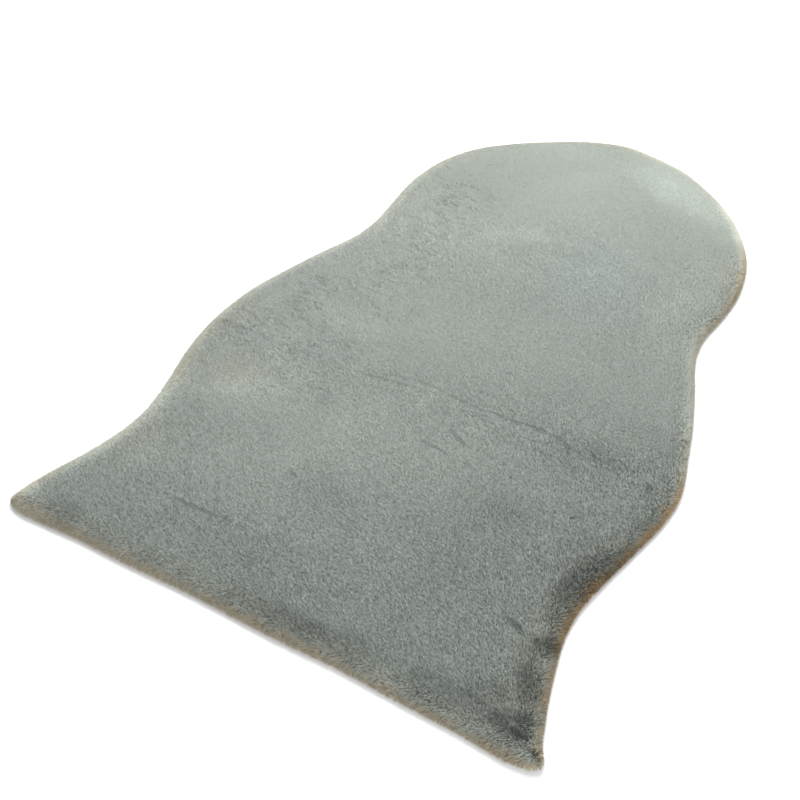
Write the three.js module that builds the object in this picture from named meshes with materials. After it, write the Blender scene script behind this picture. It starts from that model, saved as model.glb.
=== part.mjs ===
import * as THREE from "three";

// A short-pile faux fur rug cut to a sheepskin shape: a straight hem with two
// flared corners, a low waist, wide hips, a second waist and a round head.
// Millimetres. +Y runs from the hem to the round head, +X is the right-hand
// side seen from above, +Z is up. The origin is the middle of the footprint's
// bounding box, on the floor. The one solid takes in the backing cloth and the
// pile that stands on it and turns over its cut edge.

// ---- driving dimensions ------------------------------------------------
const LENGTH = 900; // hem to crown of the head
const PILE_TOP = 18; // floor to the tips of the standing pile
const FIELD_INSET = 22; // where the turned edge has levelled out
const HEM_CELLS = 30; // cells across the field
const SIDE_CELLS = 42; // cells along the field
const HEAD_SHOULDER_Y = 834; // where the sides hand over to the head's arc

// ---- outline -------------------------------------------------------------
// Stations up the rug: y from the hem's lowest point, and the x of each side.
const SIDES = [
  { part: "corner flare", y: 28, left: -289.2, right: 290.0 },
  { part: "corner flare", y: 58, left: -281.0, right: 279.0 },
  { part: "flare run-out", y: 100, left: -266.4, right: 266.6 },
  { part: "low waist", y: 140, left: -257.2, right: 258.0 },
  { part: "low waist", y: 178, left: -254.8, right: 256.9 },
  { part: "hip rise", y: 220, left: -261.6, right: 263.8 },
  { part: "hip rise", y: 270, left: -273.6, right: 274.8 },
  { part: "hips", y: 320, left: -280.3, right: 283.6 },
  { part: "hips", y: 360, left: -279.7, right: 282.8 },
  { part: "hips", y: 400, left: -275.0, right: 272.4 },
  { part: "taper", y: 450, left: -260.6, right: 257.8 },
  { part: "taper", y: 500, left: -243.4, right: 240.2 },
  { part: "taper", y: 550, left: -223.8, right: 221.4 },
  { part: "high waist", y: 590, left: -218.6, right: 216.0 },
  { part: "high waist", y: 630, left: -220.7, right: 220.6 },
  { part: "head", y: 675, left: -223.5, right: 222.4 },
  { part: "head", y: 715, left: -220.0, right: 217.4 },
  { part: "head", y: 755, left: -208.6, right: 205.4 },
  { part: "head", y: 795, left: -184.8, right: 182.6 },
  { part: "head arc", y: HEAD_SHOULDER_Y, left: -143.6, right: 148.4 },
  { part: "head arc", y: 860, left: -105.9, right: 114.0 },
  { part: "head arc", y: 884, left: -64.6, right: 72.4 },
];
// The hem waves a few millimetres between the corner tips.
const HEM = [
  { part: "left tip", x: -291.6, y: 9.5 },
  { part: "left tip", x: -281.0, y: 2.4 },
  { part: "hem", x: -252.0, y: 1.2 },
  { part: "hem", x: -205.0, y: 3.6 },
  { part: "hem", x: -150.0, y: 3.6 },
  { part: "hem", x: -60.0, y: 5.4 },
  { part: "hem", x: 30.0, y: 4.4 },
  { part: "hem", x: 98.0, y: 5.8 },
  { part: "hem", x: 170.0, y: 4.0 },
  { part: "hem", x: 225.0, y: 2.6 },
  { part: "hem", x: 272.0, y: 0.2 },
  { part: "right tip", x: 291.0, y: 3.6 },
  { part: "right tip", x: 299.0, y: 11.0 },
];
const CROWN = [
  { part: "crown", x: 24.0, y: 896.4 },
  { part: "crown", x: -16.0, y: 899.8 },
];

// ---- section of the edge: pile rolling over the cut cloth ------------------
const ROLL = [
  { ring: "foot", inset: 5.0, z: 0.0 },
  { ring: "under", inset: 1.5, z: 1.3 },
  { ring: "rim", inset: 0.0, z: 3.6 },
  { ring: "face", inset: 1.4, z: 6.8 },
  { ring: "roll", inset: 4.8, z: 10.2 },
  { ring: "brow", inset: 10.6, z: 13.6 },
  { ring: "field", inset: FIELD_INSET, z: 16.6 },
];

// ---- unevenness of the field ------------------------------------------------
// Soft troughs left by folding, from (x1, y1) to (x2, y2).
const CREASES = [
  { name: "hip crease", x1: 22, y1: 356, x2: 290, y2: 343, half: 15, depth: 1.6 },
  { name: "hip crease tail", x1: -92, y1: 335, x2: 10, y2: 345, half: 14, depth: 1.0 },
  { name: "short crease", x1: 26, y1: 314, x2: 66, y2: 301, half: 12, depth: 1.0 },
  { name: "hem crease", x1: -188, y1: 91, x2: -26, y2: 90, half: 13, depth: 1.0 },
  { name: "waist dint", x1: 208, y1: 123, x2: 226, y2: 120, half: 14, depth: 1.1 },
];
// Places where the pile stands a little proud of the field or is pressed down.
const SWELLS = [
  { name: "head, lit side", x: 100, y: 815, reach: 110, rise: 1.0 },
  { name: "head, far side", x: -130, y: 700, reach: 120, rise: -0.7 },
  { name: "middle", x: 30, y: 480, reach: 190, rise: 0.6 },
  { name: "left hip", x: -150, y: 270, reach: 110, rise: 0.6 },
  { name: "right waist", x: 215, y: 190, reach: 70, rise: -0.9 },
  { name: "right corner", x: 250, y: 45, reach: 60, rise: -0.8 },
  { name: "left corner", x: -230, y: 50, reach: 70, rise: -0.6 },
];

// ---- the outline as one closed curve ---------------------------------------
const v3 = (x, y) => new THREE.Vector3(x, y, 0);
const knots = [
  ...HEM.map((k) => v3(k.x, k.y)),
  ...SIDES.map((s) => v3(s.right, s.y)),
  ...CROWN.map((k) => v3(k.x, k.y)),
  ...[...SIDES].reverse().map((s) => v3(s.left, s.y)),
];
const outline = new THREE.CatmullRomCurve3(knots, true, "centripetal");
outline.arcLengthDivisions = 4000;
const allLengths = outline.getLengths();
const perimeter = outline.getLength();

// Arc length at knot number i.
const lengthAtKnot = (i) => {
  const f = (i / knots.length) * (allLengths.length - 1);
  const a = Math.floor(f);
  const b = Math.min(a + 1, allLengths.length - 1);
  return allLengths[a] + (f - a) * (allLengths[b] - allLengths[a]);
};
const shoulderRow = SIDES.findIndex((s) => s.y === HEAD_SHOULDER_Y);
const leftTip = 0;
const rightTip = lengthAtKnot(HEM.length - 1);
const rightShoulder = lengthAtKnot(HEM.length + shoulderRow);
const leftShoulder = lengthAtKnot(
  HEM.length + SIDES.length + CROWN.length + (SIDES.length - 1 - shoulderRow),
);

// The four runs of the border: hem, right side, head arc, left side. Samples
// crowd towards the two tips, so that their small radii are kept.
const bunchBoth = (t) => 0.42 * t + 0.58 * 0.5 * (1 - Math.cos(Math.PI * t));
const bunchStart = (t) => 0.62 * t + 0.38 * t * t;
const bunchEnd = (t) => 1 - bunchStart(1 - t);
const RUNS = [
  { from: leftTip, to: rightTip, cells: HEM_CELLS, bunch: bunchBoth },
  { from: rightTip, to: rightShoulder, cells: SIDE_CELLS, bunch: bunchStart },
  { from: rightShoulder, to: leftShoulder, cells: HEM_CELLS, bunch: (t) => t },
  { from: leftShoulder, to: perimeter, cells: SIDE_CELLS, bunch: bunchEnd },
];
const border = [];
for (const run of RUNS)
  for (let i = 0; i < run.cells; i++) {
    const s = run.from + (run.to - run.from) * run.bunch(i / run.cells);
    const p = outline.getPointAt(Math.min(s / perimeter, 1));
    border.push({ s, x: p.x, y: p.y });
  }
const N = border.length;

// Inward directions, eased along the border so that the rings don't cross in
// the tips.
const EASE = 26; // mm along the border
const inward = border.map((_, i) => {
  const a = border[(i + N - 1) % N];
  const b = border[(i + 1) % N];
  const l = Math.hypot(b.x - a.x, b.y - a.y);
  return { x: -(b.y - a.y) / l, y: (b.x - a.x) / l };
});
const eased = border.map((p) => {
  let x = 0;
  let y = 0;
  border.forEach((q, j) => {
    let d = Math.abs(q.s - p.s);
    d = Math.min(d, perimeter - d);
    if (d > 3 * EASE) return;
    const prev = border[(j + N - 1) % N];
    const next = border[(j + 1) % N];
    const share =
      Math.hypot(next.x - q.x, next.y - q.y) +
      Math.hypot(q.x - prev.x, q.y - prev.y);
    const w = Math.exp(-((d / EASE) ** 2)) * share;
    x += inward[j].x * w;
    y += inward[j].y * w;
  });
  const l = Math.hypot(x, y);
  return { x: x / l, y: y / l };
});

// ---- height of the field -----------------------------------------------------
const bump = (t) => (t >= 1 ? 0 : (1 - t * t) ** 2);
function unevenness(x, y) {
  let z = 0;
  for (const s of SWELLS)
    z += s.rise * bump(Math.hypot(x - s.x, y - s.y) / s.reach);
  for (const c of CREASES) {
    const dx = c.x2 - c.x1;
    const dy = c.y2 - c.y1;
    const t = Math.min(
      1,
      Math.max(0, ((x - c.x1) * dx + (y - c.y1) * dy) / (dx * dx + dy * dy)),
    );
    const off = Math.hypot(x - c.x1 - t * dx, y - c.y1 - t * dy);
    z -= c.depth * bump(off / c.half);
  }
  return z;
}

// ---- mesh ----------------------------------------------------------------------
const vertices = [];
const faces = [];
const addVertex = (x, y, z) => vertices.push([x, y, z]) - 1;

// Rings of the rolled edge, from the foot up to the field's border.
const rings = ROLL.map((row, k) =>
  border.map((p, i) => {
    const x = p.x + eased[i].x * row.inset;
    const y = p.y + eased[i].y * row.inset;
    const share = k / (ROLL.length - 1); // unevenness comes in with height
    return addVertex(x, y, row.z + (k < 3 ? 0 : unevenness(x, y) * share));
  }),
);
for (let k = 0; k + 1 < rings.length; k++)
  for (let i = 0; i < N; i++) {
    const j = (i + 1) % N;
    const [a, b, c, d] = [rings[k][i], rings[k][j], rings[k + 1][j], rings[k + 1][i]];
    faces.push([a, b, c], [a, c, d]);
  }

// A Coons patch between the four runs of one ring: height gives its z at a
// point and at a count of cells from the rim, and up says which way it faces.
const corner = [0, HEM_CELLS, HEM_CELLS + SIDE_CELLS, 2 * HEM_CELLS + SIDE_CELLS];
function addPatch(ring, height, up) {
  const at = (i) => ring[(i + N) % N];
  const hemAt = (i) => at(corner[0] + i);
  const rightAt = (j) => at(corner[1] + j);
  const headAt = (i) => at(corner[3] - i);
  const leftAt = (j) => at(-j);
  const coons = (i, j, axis) => {
    const u = i / HEM_CELLS;
    const v = j / SIDE_CELLS;
    const along = (from, to, t) =>
      vertices[from][axis] * (1 - t) + vertices[to][axis] * t;
    return (
      along(hemAt(i), headAt(i), v) +
      along(leftAt(j), rightAt(j), u) -
      (1 - v) * along(hemAt(0), hemAt(HEM_CELLS), u) -
      v * along(headAt(0), headAt(HEM_CELLS), u)
    );
  };
  const grid = [];
  for (let j = 0; j <= SIDE_CELLS; j++) {
    grid.push([]);
    for (let i = 0; i <= HEM_CELLS; i++) {
      if (j === 0) grid[j].push(hemAt(i));
      else if (j === SIDE_CELLS) grid[j].push(headAt(i));
      else if (i === 0) grid[j].push(leftAt(j));
      else if (i === HEM_CELLS) grid[j].push(rightAt(j));
      else {
        const x = coons(i, j, 0);
        const y = coons(i, j, 1);
        const rim = Math.min(i, HEM_CELLS - i, j, SIDE_CELLS - j);
        grid[j].push(addVertex(x, y, height(x, y, rim)));
      }
    }
  }
  // Each cell is cut along its shorter diagonal.
  const span = (p, q) =>
    Math.hypot(vertices[p][0] - vertices[q][0], vertices[p][1] - vertices[q][1]);
  const addFace = (p, q, r) => faces.push(up ? [p, q, r] : [p, r, q]);
  for (let j = 0; j < SIDE_CELLS; j++)
    for (let i = 0; i < HEM_CELLS; i++) {
      const [a, b] = [grid[j][i], grid[j][i + 1]];
      const [d, c] = [grid[j + 1][i], grid[j + 1][i + 1]];
      if (span(a, c) <= span(b, d)) {
        addFace(a, b, c);
        addFace(a, c, d);
      } else {
        addFace(a, b, d);
        addFace(b, c, d);
      }
    }
}

// The field of standing pile, and the underside, flat on the floor.
const fieldZ = ROLL[ROLL.length - 1].z;
addPatch(
  rings[rings.length - 1],
  (x, y, rim) =>
    fieldZ + (PILE_TOP - fieldZ) * Math.min(1, rim / 2) + unevenness(x, y),
  true,
);
addPatch(rings[0], () => 0, false);

// ---- place the origin, build the mesh -------------------------------------------
const xs = vertices.map((v) => v[0]);
const midX = (Math.min(...xs) + Math.max(...xs)) / 2;
const ys = vertices.map((v) => v[1]);
const midY = (Math.min(...ys) + Math.max(...ys)) / 2;
const scaleY = LENGTH / (Math.max(...ys) - Math.min(...ys)); // hem to crown, exactly

const geometry = new THREE.BufferGeometry();
geometry.setAttribute(
  "position",
  new THREE.Float32BufferAttribute(
    vertices.flatMap(([x, y, z]) => [x - midX, (y - midY) * scaleY, z]),
    3,
  ),
);
geometry.setIndex(faces.flat());
geometry.computeVertexNormals();

const pile = new THREE.Mesh(
  geometry,
  new THREE.MeshStandardMaterial({ color: 0x939a93, roughness: 0.95, metalness: 0 }),
);
pile.name = "fur_panel";

const rug = new THREE.Group();
rug.add(pile);
export default rug;
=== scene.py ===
"""Looks of the faux fur rug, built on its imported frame.

Metres, +Y from the straight hem to the round head, +X to the right seen from above, +Z up, origin on the floor under
the middle of the rug. The rug is one plush panel: a closed sheet for the knitted ground with the dense lower half of
its pile, and the tips of the pile as small curved locks, joined into a few meshes. Everything random is seeded.
"""

import math

import bpy
import numpy as np
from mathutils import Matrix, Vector, kdtree


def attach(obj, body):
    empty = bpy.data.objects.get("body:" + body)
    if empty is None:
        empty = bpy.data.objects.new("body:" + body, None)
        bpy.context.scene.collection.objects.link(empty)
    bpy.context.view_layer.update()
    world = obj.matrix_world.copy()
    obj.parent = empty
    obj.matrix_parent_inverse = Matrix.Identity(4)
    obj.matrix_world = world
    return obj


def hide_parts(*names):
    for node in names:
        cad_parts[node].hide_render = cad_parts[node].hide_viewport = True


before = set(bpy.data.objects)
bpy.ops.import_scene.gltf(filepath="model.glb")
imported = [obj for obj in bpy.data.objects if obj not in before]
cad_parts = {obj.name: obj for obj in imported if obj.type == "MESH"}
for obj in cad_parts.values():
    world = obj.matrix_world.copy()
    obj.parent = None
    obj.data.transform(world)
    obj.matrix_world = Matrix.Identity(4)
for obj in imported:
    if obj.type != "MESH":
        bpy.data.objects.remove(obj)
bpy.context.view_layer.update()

MM = 0.001
RNG = np.random.default_rng(7)

# ---------------------------------------------------------------- sizes, mm
LENGTH = 900.0  # hem to crown
GROUND_TOP = 12.4  # floor to the top of the dense lower pile
GROUND_INSET = 2.6  # the ground's rim lies this far inside the pile's outline
RIM_Z = 2.6  # height of that rim
SLOPE = 24.0  # the pile falls off to the rim over this distance
HEM_CELLS, SIDE_CELLS = 90, 130
HEAD_SHOULDER_Y = 834.0

FIELD_LOCKS, FIELD_PIECES = 752_000, 4  # straight locks over the field, one triangle each
RIM_LOCKS, RIM_PIECES = 98_000, 2  # bent locks along the rim, two triangles each
RIM_REACH = 18.0  # the bent locks grow within this distance of the outline
CLUMP = 1.2  # spacing of the tufts that the locks gather into
FIELD_LENGTH, FIELD_WIDTH = 3.7, 0.74
RIM_LENGTH, RIM_WIDTH = 6.0, 0.58

# ------------------------------------------------- outline, as in the part
# y from the hem's lowest point, x of the left and of the right side
SIDES = (
    (28, -289.2, 290.0),
    (58, -281.0, 279.0),
    (100, -266.4, 266.6),
    (140, -257.2, 258.0),
    (178, -254.8, 256.9),
    (220, -261.6, 263.8),
    (270, -273.6, 274.8),
    (320, -280.3, 283.6),
    (360, -279.7, 282.8),
    (400, -275.0, 272.4),
    (450, -260.6, 257.8),
    (500, -243.4, 240.2),
    (550, -223.8, 221.4),
    (590, -218.6, 216.0),
    (630, -220.7, 220.6),
    (675, -223.5, 222.4),
    (715, -220.0, 217.4),
    (755, -208.6, 205.4),
    (795, -184.8, 182.6),
    (HEAD_SHOULDER_Y, -143.6, 148.4),
    (860, -105.9, 114.0),
    (884, -64.6, 72.4),
)
HEM = (
    (-291.6, 9.5),
    (-281.0, 2.4),
    (-252.0, 1.2),
    (-205.0, 3.6),
    (-150.0, 3.6),
    (-60.0, 5.4),
    (30.0, 4.4),
    (98.0, 5.8),
    (170.0, 4.0),
    (225.0, 2.6),
    (272.0, 0.2),
    (291.0, 3.6),
    (299.0, 11.0),
)
CROWN = ((24.0, 896.4), (-16.0, 899.8))

# Folding creases: x1, y1, x2, y2, half width of the trough, its depth, how strongly the pile parts along it and how
# dark the shade painted along it is, how far it wanders
CREASES = (
    ("hip_crease_1", -59, 348, -20, 358, 11, 0.6, 0.55, 0.8),
    ("hip_crease_2", -20, 358, 8, 356, 11, 0.7, 0.55, 0.8),
    ("hip_crease_3", 8, 356, 44, 354, 10, 0.9, 0.85, 0.6),
    ("hip_crease_4", 44, 354, 83, 355, 10, 1.2, 1.0, 0.6),
    ("hip_crease_5", 83, 355, 125, 359, 10, 1.4, 1.15, 0.6),
    ("hip_crease_6", 125, 359, 147, 359, 10, 1.4, 1.1, 0.5),
    ("hip_crease_7", 147, 359, 162, 349, 11, 1.4, 0.75, 0.5),
    ("hip_crease_8", 162, 349, 195, 350, 12, 1.3, 0.55, 0.8),
    ("hip_crease_9", 195, 350, 225, 348, 12, 1.2, 0.4, 0.8),
    ("hip_crease_10", 225, 348, 270, 350, 12, 1.0, 0.35, 0.8),
    ("hip_line_1", -76, 337, -54, 342, 8, 0.4, 0.8, 0.5),
    ("hip_line_2", -54, 342, -20, 348, 8, 0.4, 0.6, 0.5),
    ("hip_under_1", 41, 342, 72, 348, 7, 0.3, 0.6, 0.5),
    ("short_crease_1", 47, 309, 59, 302, 7, 0.6, 1.1, 0.3),
    ("short_crease_2", 59, 302, 72, 298, 7, 0.6, 1.1, 0.3),
    ("short_crease_low_1", 27, 281, 42, 280, 7, 0.4, 0.7, 0.3),
    ("short_crease_low_2", 42, 280, 57, 277, 7, 0.4, 0.6, 0.3),
    ("hem_crease_1", -176, 89, -155, 88, 8, 0.4, 0.5, 0.5),
    ("hem_crease_2", -155, 88, -136, 89, 8, 0.5, 0.7, 0.5),
    ("hem_crease_3", -136, 89, -121, 88, 9, 0.8, 1.3, 0.3),
    ("hem_crease_4", -121, 88, -102, 89, 9, 0.7, 1.0, 0.3),
    ("hem_crease_5", -102, 89, -66, 93, 8, 0.4, 0.5, 0.5),
    ("mark_left", -122, 144, -113, 137, 5, 0.3, 0.5, 0.2),
    ("mark_mid", -66, 177, -58, 173, 5, 0.3, 0.7, 0.2),
    ("mark_hem", -12, 61, -7, 59, 5, 0.3, 0.8, 0.2),
    ("hip_dash", 196, 266, 216, 269, 5, 0.3, 0.5, 0.2),
    ("waist_dint", 209, 125, 226, 118, 7, 0.8, 1.3, 0.2),
)
# Places where the pile stands proud or is pressed down: x, y, reach, rise
SWELLS = (
    ("head_lit_side", 100, 815, 110, 1.0),
    ("head_far_side", -130, 700, 120, -0.7),
    ("middle", 30, 480, 190, 0.6),
    ("left_hip", -150, 270, 110, 0.6),
    ("right_waist", 215, 190, 70, -0.9),
    ("right_corner", 250, 45, 60, -0.8),
    ("left_corner", -230, 50, 70, -0.6),
)


# ------------------------------------------------------------------ helpers
def smooth01(t):
    t = np.clip(t, 0.0, 1.0)
    return t * t * (3.0 - 2.0 * t)


def bump(t):
    return np.where(t < 1.0, (1.0 - np.minimum(t, 1.0) ** 2) ** 2, 0.0)


def unit(v):
    return v / np.maximum(np.linalg.norm(v, axis=-1, keepdims=True), 1e-9)


class Noise:
    """Smooth value noise on a seeded lattice over the rug: cell is its scale in mm. Values have about unit spread."""

    def __init__(self, cell, channels=1, seed=0):
        self.cell = cell
        self.nx = int(math.ceil(760 / cell)) + 4
        self.ny = int(math.ceil(1080 / cell)) + 4
        r = np.random.default_rng(seed)
        self.v = r.standard_normal((self.ny, self.nx, channels)).astype(np.float32)

    def __call__(self, x, y):
        fx = (np.asarray(x) + 380.0) / self.cell + 1.0
        fy = (np.asarray(y) + 540.0) / self.cell + 1.0
        ix = np.clip(np.floor(fx).astype(int), 0, self.nx - 2)
        iy = np.clip(np.floor(fy).astype(int), 0, self.ny - 2)
        tx = smooth01(fx - ix)[..., None]
        ty = smooth01(fy - iy)[..., None]
        v = self.v
        top = v[iy, ix] * (1 - tx) + v[iy, ix + 1] * tx
        low = v[iy + 1, ix] * (1 - tx) + v[iy + 1, ix + 1] * tx
        out = (top * (1 - ty) + low * ty) * 1.35
        return out[..., 0] if out.shape[-1] == 1 else out


# ------------------------------------------------------------ outline curve
def closed_curve(knots, steps):
    """Centripetal Catmull-Rom through the knots, the same curve as the part's outline."""
    p = np.asarray(knots, float)
    before, after, later = np.roll(p, 1, 0), np.roll(p, -1, 0), np.roll(p, -2, 0)
    d0 = np.sqrt(np.linalg.norm(p - before, axis=1))[:, None]
    d1 = np.sqrt(np.linalg.norm(after - p, axis=1))[:, None]
    d2 = np.sqrt(np.linalg.norm(later - after, axis=1))[:, None]
    t1 = ((p - before) / d0 - (after - before) / (d0 + d1) + (after - p) / d1) * d1
    t2 = ((after - p) / d1 - (later - p) / (d1 + d2) + (later - after) / d2) * d1
    u = (np.arange(steps) / steps)[None, :, None]
    a, b = p[:, None], after[:, None]
    t1, t2 = t1[:, None], t2[:, None]
    c2 = -3 * a + 3 * b - 2 * t1 - t2
    c3 = 2 * a - 2 * b + t1 + t2
    return (a + t1 * u + c2 * u**2 + c3 * u**3).reshape(-1, 2)


KNOTS = (
    list(HEM)
    + [(right, y) for y, left, right in SIDES]
    + list(CROWN)
    + [(left, y) for y, left, right in reversed(SIDES)]
)
STEPS = 60
LINE = closed_curve(KNOTS, STEPS)
MID = (LINE.min(0) + LINE.max(0)) / 2
LINE = LINE - MID
SHIFT_X, SHIFT_Y = MID  # from the tables' coordinates to the row frame


def to_row(x, y):
    return x - SHIFT_X, y - SHIFT_Y


seg = np.linalg.norm(np.roll(LINE, -1, 0) - LINE, axis=1)
ARC = np.concatenate([[0.0], np.cumsum(seg)])
PERIMETER = ARC[-1]
LOOP = np.vstack([LINE, LINE[:1]])


def on_line(s):
    s = np.mod(s, PERIMETER)
    return np.stack([np.interp(s, ARC, LOOP[:, 0]), np.interp(s, ARC, LOOP[:, 1])], 1)


def inward_at(s, ease):
    """Inward direction on the outline, averaged over ease mm each way so that it turns slowly round a tip."""
    offs = np.linspace(-2.2 * ease, 2.2 * ease, 31)
    total = np.zeros((len(s), 2))
    for o in offs:
        t = on_line(s + o + 1.0) - on_line(s + o - 1.0)
        total += unit(np.stack([-t[:, 1], t[:, 0]], 1)) * math.exp(-((o / ease) ** 2))
    return unit(total)


# -------------------------------------------- depth inside the outline, mm
GRID = 2.0
GX = np.arange(-312.0, 312.1, GRID)
GY = np.arange(-466.0, 466.1, GRID)


def depth_field():
    tree = kdtree.KDTree(len(LINE))
    for i, (x, y) in enumerate(LINE):
        tree.insert((x, y, 0.0), i)
    tree.balance()
    dist = np.empty((len(GY), len(GX)))
    for j, y in enumerate(GY):
        dist[j] = [tree.find((x, y, 0.0))[2] for x in GX]
    a, b = LOOP[:-1], LOOP[1:]
    inside = np.zeros(dist.shape, bool)
    for j, y in enumerate(GY):
        hit = (a[:, 1] > y) != (b[:, 1] > y)
        xs = a[hit, 0] + (y - a[hit, 1]) / (b[hit, 1] - a[hit, 1]) * (
            b[hit, 0] - a[hit, 0]
        )
        inside[j] = (xs[None, :] > GX[:, None]).sum(1) % 2 == 1
    return np.where(inside, dist, -dist)


DEPTH = depth_field()


def blurred(a, times):
    for _ in range(times):
        p = np.pad(a, 1, mode="edge")
        a = (p[:-2, 1:-1] + p[2:, 1:-1] + p[1:-1, :-2] + p[1:-1, 2:] + 2 * a) / 6
    return a


OUT_Y, OUT_X = np.gradient(-blurred(DEPTH, 14), GRID)


def sample(field, x, y):
    fx = np.clip((x - GX[0]) / GRID, 0, len(GX) - 1.001)
    fy = np.clip((y - GY[0]) / GRID, 0, len(GY) - 1.001)
    ix, iy = fx.astype(int), fy.astype(int)
    tx, ty = fx - ix, fy - iy
    return (field[iy, ix] * (1 - tx) + field[iy, ix + 1] * tx) * (1 - ty) + (
        field[iy + 1, ix] * (1 - tx) + field[iy + 1, ix + 1] * tx
    ) * ty


# -------------------------------------------------------- lie of the surface
wander = Noise(11.0, 1, seed=41)
roll_noise = Noise(46.0, 1, seed=42)


def crease_reach(c, x, y):
    """Signed distance across a crease line, in mm, and how far past its ends a point is, in mm. The line wanders."""
    _, x1, y1, x2, y2, half, depth, part, amount = c
    x1, y1 = to_row(x1, y1)
    x2, y2 = to_row(x2, y2)
    dx, dy = x2 - x1, y2 - y1
    length = math.hypot(dx, dy)
    ux, uy = dx / length, dy / length
    along = (x - x1) * ux + (y - y1) * uy
    across = -(x - x1) * uy + (y - y1) * ux
    across = across + amount * wander(x, np.full_like(x, y1))
    past = np.maximum(0.0, np.maximum(-along, along - length))
    return across, past


def unevenness(x, y):
    z = np.zeros_like(x)
    for _, sx, sy, reach, rise in SWELLS:
        sx, sy = to_row(sx, sy)
        z += rise * bump(np.hypot(x - sx, y - sy) / reach)
    trough = np.zeros_like(x)
    for c in CREASES:
        across, past = crease_reach(c, x, y)
        trough = np.maximum(trough, c[6] * bump(np.hypot(across, past) / c[5]))
    return z - trough + 0.35 * roll_noise(x, y)


# --------------------------------------------------- the ground sheet's mesh
def run_lengths():
    knot_arc = ARC[np.arange(len(KNOTS)) * STEPS]
    row = [s[0] for s in SIDES].index(HEAD_SHOULDER_Y)
    right_tip = knot_arc[len(HEM) - 1]
    right_shoulder = knot_arc[len(HEM) + row]
    left_shoulder = knot_arc[
        len(HEM) + len(SIDES) + len(CROWN) + (len(SIDES) - 1 - row)
    ]
    t = np.arange(HEM_CELLS) / HEM_CELLS
    u = np.arange(SIDE_CELLS) / SIDE_CELLS
    both = 0.42 * t + 0.58 * 0.5 * (1 - np.cos(np.pi * t))
    start = 0.62 * u + 0.38 * u * u
    end = 1 - (0.62 * (1 - u) + 0.38 * (1 - u) ** 2)
    return np.concatenate(
        [
            right_tip * both,
            right_tip + (right_shoulder - right_tip) * start,
            right_shoulder + (left_shoulder - right_shoulder) * t,
            left_shoulder + (PERIMETER - left_shoulder) * end,
        ]
    )


# Section of the ground's edge: inset from the outline and height; from the rim on, the height is the surface's own
SECTION = (
    (5.6, 0.0),
    (3.6, 0.7),
    (GROUND_INSET, RIM_Z),
    (3.1, None),
    (4.3, None),
    (6.3, None),
    (9.0, None),
    (12.5, None),
)


def surface(x, y):
    """Height of the ground: level over the field, falling off to the rim in a soft curve."""
    t = np.clip(1 - (sample(DEPTH, x, y) - GROUND_INSET) / SLOPE, 0.0, 1.0)
    fall = (1 - t**2) ** 0.68
    return RIM_Z + (GROUND_TOP - RIM_Z) * fall + unevenness(x, y) * fall


def ground_mesh():
    """(vertices in mm, quads, underside loop, triangles of the quads, normals by vertex)"""
    s = run_lengths()
    n = len(s)
    border = on_line(s)
    inward = inward_at(s, 13.0)
    rings = []
    for inset, z in SECTION:
        p = border + inward * inset
        z = np.full(n, z) if z is not None else surface(p[:, 0], p[:, 1])
        rings.append(np.column_stack([p, z]))
    verts = [np.vstack(rings)]
    count = n * len(rings)
    quads = []
    i = np.arange(n)
    j = (i + 1) % n
    for k in range(len(rings) - 1):
        quads.append(
            np.stack([k * n + i, k * n + j, (k + 1) * n + j, (k + 1) * n + i], 1)
        )
    top_ids = (len(rings) - 1) * n + np.arange(n)
    top = rings[-1][:, :2]
    c1, c2, c3 = HEM_CELLS, HEM_CELLS + SIDE_CELLS, 2 * HEM_CELLS + SIDE_CELLS
    hem = top[: c1 + 1]
    right = top[c1 : c2 + 1]
    head = top[c2 : c3 + 1][::-1]
    left = np.vstack([top[c3:], top[:1]])[::-1]
    u = (np.arange(HEM_CELLS + 1) / HEM_CELLS)[None, :, None]
    v = (np.arange(SIDE_CELLS + 1) / SIDE_CELLS)[:, None, None]
    grid = (
        (1 - v) * hem[None]
        + v * head[None]
        + (1 - u) * left[:, None]
        + u * right[:, None]
        - (1 - u) * (1 - v) * hem[0]
        - u * (1 - v) * hem[-1]
        - (1 - u) * v * head[0]
        - u * v * head[-1]
    )
    ids = np.empty((SIDE_CELLS + 1, HEM_CELLS + 1), int)
    ids[0] = top_ids[: c1 + 1]
    ids[:, -1] = top_ids[c1 : c2 + 1]
    ids[-1] = top_ids[c2 : c3 + 1][::-1]
    ids[:, 0] = np.concatenate([top_ids[c3:], top_ids[:1]])[::-1]
    inner = grid[1:-1, 1:-1].reshape(-1, 2)
    ids[1:-1, 1:-1] = (count + np.arange(len(inner))).reshape(
        SIDE_CELLS - 1, HEM_CELLS - 1
    )
    z = surface(inner[:, 0], inner[:, 1])
    verts.append(np.column_stack([inner, z]))
    quads.append(
        np.stack([ids[:-1, :-1], ids[:-1, 1:], ids[1:, 1:], ids[1:, :-1]], -1).reshape(
            -1, 4
        )
    )
    co = np.vstack(verts)
    faces = np.vstack(quads)
    tri = np.vstack([faces[:, [0, 1, 2]], faces[:, [0, 2, 3]]])
    fn = np.cross(co[tri[:, 1]] - co[tri[:, 0]], co[tri[:, 2]] - co[tri[:, 0]])
    vn = np.zeros_like(co)
    for k in range(3):
        np.add.at(vn, tri[:, k], fn)
    return co, faces, np.arange(n)[::-1], tri, unit(vn)


G_CO, G_QUADS, G_FOOT, G_TRI, G_NORMAL = ground_mesh()


def new_object(name, mesh):
    ob = bpy.data.objects.new(name, mesh)
    bpy.context.scene.collection.objects.link(ob)
    return ob


ground = bpy.data.meshes.new("rug_ground")
ground.from_pydata(
    (G_CO * MM).tolist(), [], G_QUADS.tolist() + [G_FOOT.tolist()]
)
ground.shade_smooth()
rug_ground = new_object("rug_ground", ground)


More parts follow.
